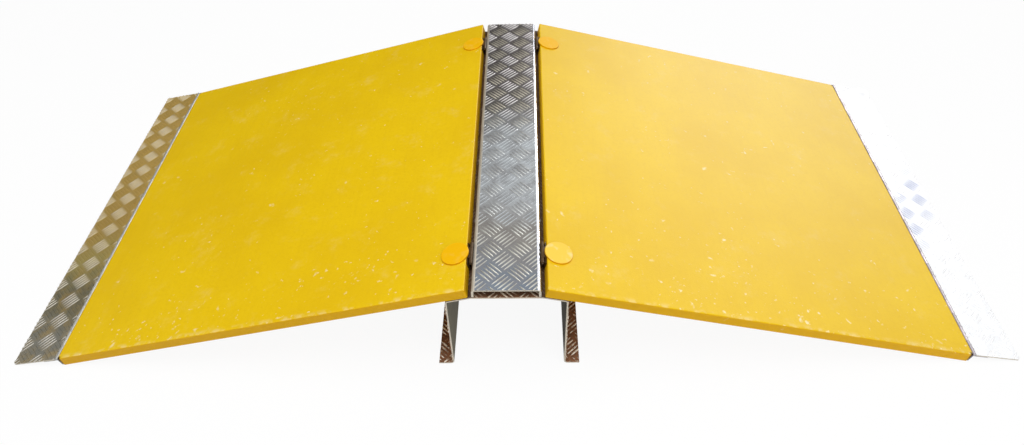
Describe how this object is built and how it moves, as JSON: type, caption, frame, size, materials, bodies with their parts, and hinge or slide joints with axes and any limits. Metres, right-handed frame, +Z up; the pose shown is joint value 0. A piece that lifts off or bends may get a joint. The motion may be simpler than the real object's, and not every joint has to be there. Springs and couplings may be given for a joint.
{
  "type": "folding loading ramp",
  "caption": "Folding up-and-over ramp: hinged yellow decks lean on a chequer-plate saddle with a ridge cover, and hinged chequer lips meet the floor.",
  "frame": {"origin": "on the floor, under the middle of the ridge", "axes": "+X along the ramp toward the right deck, +Y across the ramp toward its back edge, +Z up"},
  "size_m": [1.5384, 0.7, 0.1779],
  "materials": {
    "saddle_sheet": "satin",
    "cover_sheet": "satin",
    "lip_sheet": "satin",
    "plain_aluminium": "satin",
    "rivets": "satin",
    "hinge_steel": "matte",
    "hinge_steel_rivets": "matte",
    "pin_steel": "satin",
    "yellow_moulding": "satin",
    "deck_base_sheet": "matte",
    "plywood": "matte",
    "balsa_core": "matte",
    "zinc_fixings": "satin",
    "cap_plastic": "satin",
    "leaf_steel": "satin"
  },
  "bodies": {
    "saddle": {"saddle_plate": "saddle_sheet", "ridge_cover": "cover_sheet", "ridge_angles": "plain_aluminium", "ridge_floor_rivets": "rivets", "ridge_flange_rivets": "rivets", "left_hinge_brackets": "hinge_steel", "right_hinge_brackets": "hinge_steel", "left_bracket_rivets": "hinge_steel_rivets", "right_bracket_rivets": "hinge_steel_rivets", "left_hinge_pins": "pin_steel", "right_hinge_pins": "pin_steel"},
    "left_deck": {"left_deck_moulding": "yellow_moulding", "left_deck_base": "deck_base_sheet", "left_deck_ribs": "plywood", "left_deck_cores": "balsa_core", "left_inner_rail": "plywood", "left_outer_rail": "plywood", "left_hinge_straps": "hinge_steel", "left_strap_bolts": "zinc_fixings", "left_bolt_washers": "zinc_fixings", "left_bolt_nuts": "zinc_fixings", "left_bolt_caps": "cap_plastic", "left_lip_end_leaf": "leaf_steel", "left_leaf_screws": "zinc_fixings", "left_lip_pin": "pin_steel"},
    "left_lip": {"left_lip_plate": "lip_sheet", "left_lip_leaf": "leaf_steel", "left_lip_rivets": "rivets"},
    "right_deck": {"right_deck_moulding": "yellow_moulding", "right_deck_base": "deck_base_sheet", "right_deck_ribs": "plywood", "right_deck_cores": "balsa_core", "right_inner_rail": "plywood", "right_outer_rail": "plywood", "right_hinge_straps": "hinge_steel", "right_strap_bolts": "zinc_fixings", "right_bolt_washers": "zinc_fixings", "right_bolt_nuts": "zinc_fixings", "right_bolt_caps": "cap_plastic", "right_lip_end_leaf": "leaf_steel", "right_leaf_screws": "zinc_fixings", "right_lip_pin": "pin_steel"},
    "right_lip": {"right_lip_plate": "lip_sheet", "right_lip_leaf": "leaf_steel", "right_lip_rivets": "rivets"}
  },
  "joints": [
    {"name": "left_deck_fold", "type": "hinge", "parent": "saddle", "child": "left_deck", "pos_m": [-0.0508, 0, 0.17251], "axis": [0, 1, 0], "range_deg": [0, 100]},
    {"name": "right_deck_fold", "type": "hinge", "parent": "saddle", "child": "right_deck", "pos_m": [0.0508, 0, 0.17251], "axis": [0, -1, 0], "range_deg": [0, 100]},
    {"name": "left_lip_hinge", "type": "hinge", "parent": "left_deck", "child": "left_lip", "pos_m": [-0.69596, 0, 0.01429], "axis": [0, 1, 0], "range_deg": [-20, 112]},
    {"name": "right_lip_hinge", "type": "hinge", "parent": "right_deck", "child": "right_lip", "pos_m": [0.69596, 0, 0.01429], "axis": [0, -1, 0], "range_deg": [-20, 112]}
  ]
}
